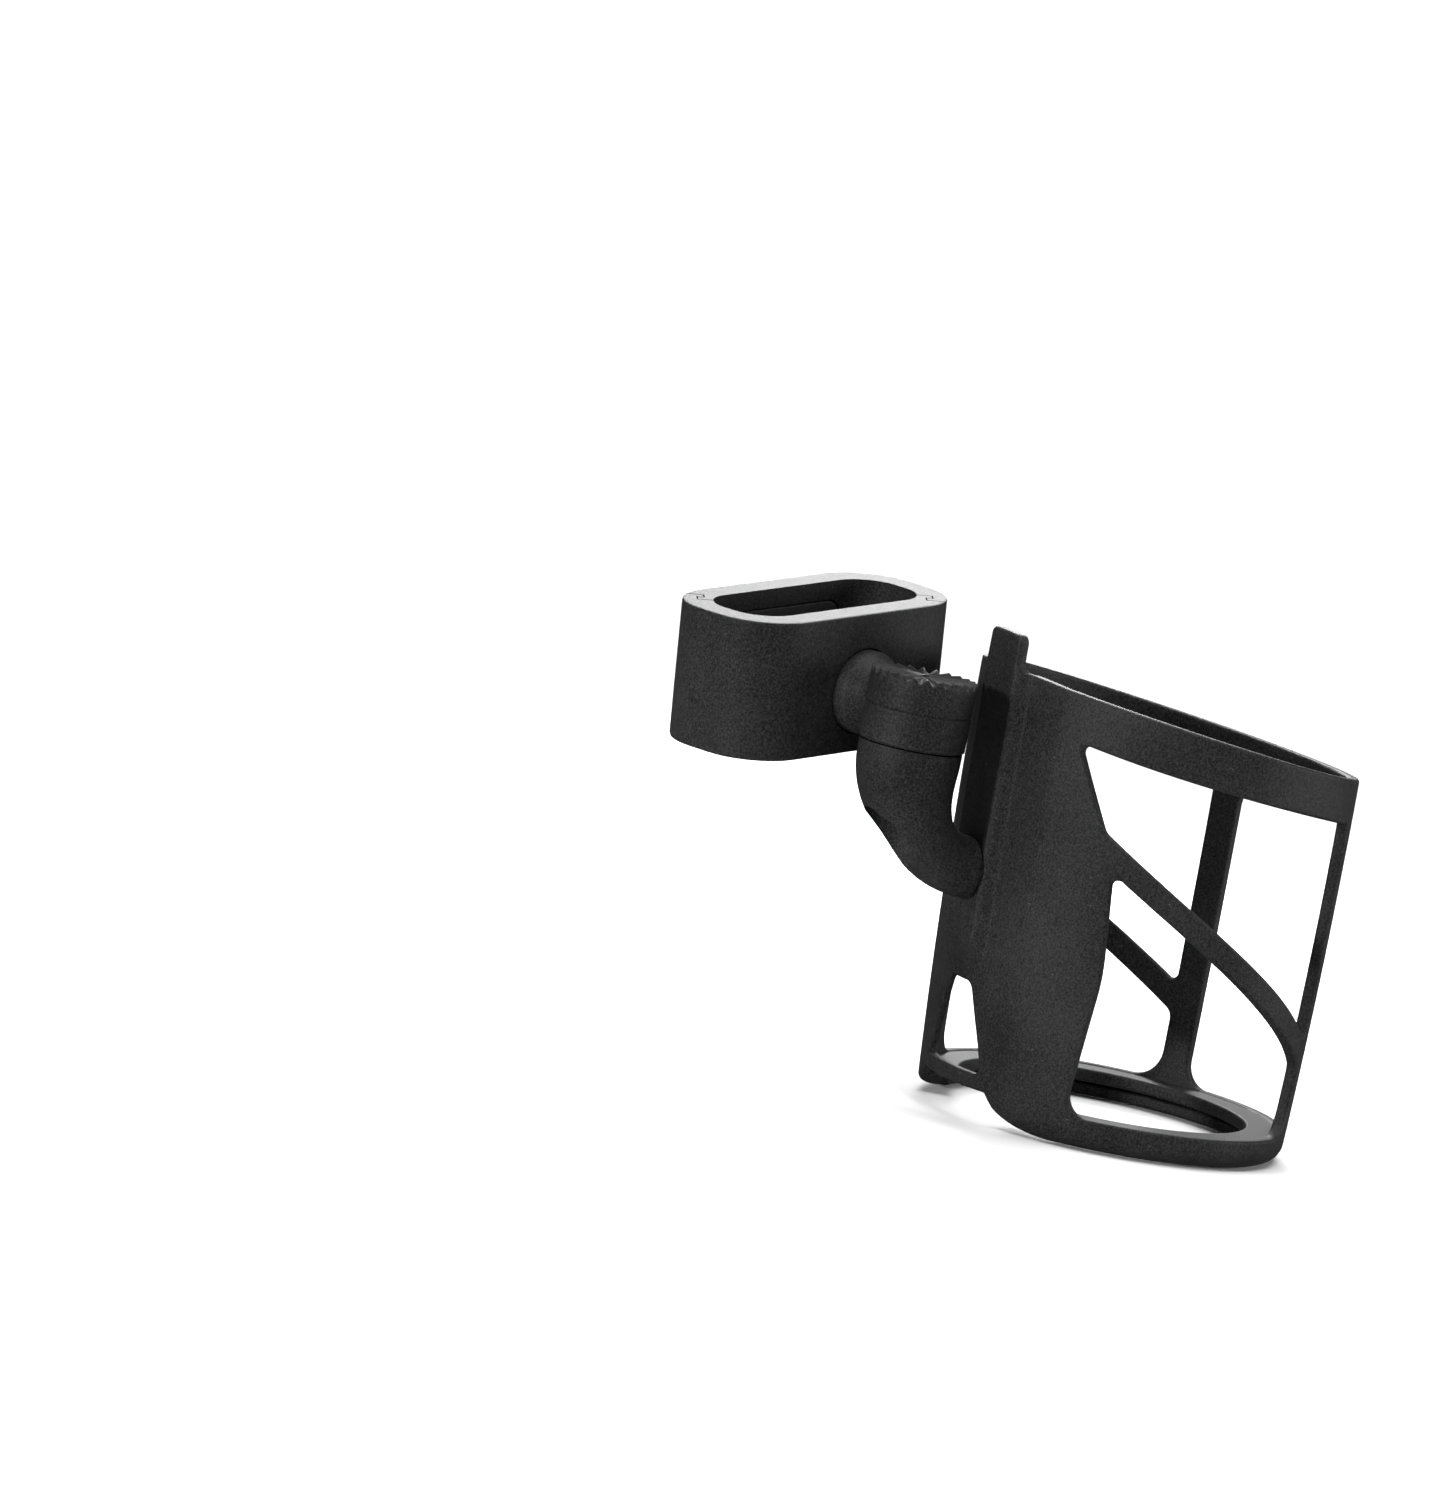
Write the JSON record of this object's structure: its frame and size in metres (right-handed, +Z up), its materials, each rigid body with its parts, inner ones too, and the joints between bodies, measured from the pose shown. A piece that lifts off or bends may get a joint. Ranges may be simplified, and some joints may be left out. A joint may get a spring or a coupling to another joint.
{
  "type": "bottle cage",
  "caption": "Clamp-on bottle cage: a two-part collar grips a flat-oval tube, and a toothed knuckle and elbow arm let the open moulded cage swivel and swing.",
  "frame": {"origin": "where the swivel axis crosses the axis of the clamped tube, inside the collar", "axes": "+Z up along the cage and the arm's pivot, -Y out along the swivel stub, +X towards the side the cage rests on"},
  "size_m": [0.1265, 0.1047, 0.0994],
  "materials": {
    "moulded_plastic": "fine moulded grain",
    "rubber": "matt",
    "brass": "turned",
    "plated_steel": "zinc plated"
  },
  "bodies": {
    "collar": {"collar_front": "moulded_plastic", "collar_back": "moulded_plastic", "grip_pad": "rubber", "pressure_pad": "rubber", "clamp_insert_left": "brass", "clamp_insert_right": "brass", "clamp_screw_left": "plated_steel", "clamp_screw_right": "plated_steel", "swivel_friction_ring": "rubber"},
    "knuckle": {"knuckle": "moulded_plastic", "swivel_insert": "brass", "swivel_screw": "plated_steel", "swivel_washer": "plated_steel", "pivot_insert": "brass", "pivot_bolt": "plated_steel"},
    "arm": {"arm": "moulded_plastic", "pivot_washer": "plated_steel", "pivot_spring": "plated_steel", "cage": "moulded_plastic", "cage_screw_left": "plated_steel", "cage_screw_right": "plated_steel", "cage_insert_left": "brass", "cage_insert_right": "brass"}
  },
  "joints": [
    {"name": "knuckle_swivel", "type": "hinge", "parent": "collar", "child": "knuckle", "pos_m": [0, -0.03075, 0], "axis": [0, -1, 0], "range_deg": [-90, 90]},
    {"name": "arm_pivot", "type": "hinge", "parent": "knuckle", "child": "arm", "pos_m": [0, -0.03075, 0], "axis": [0, 0, 1], "range_deg": [-140, 5]}
  ]
}
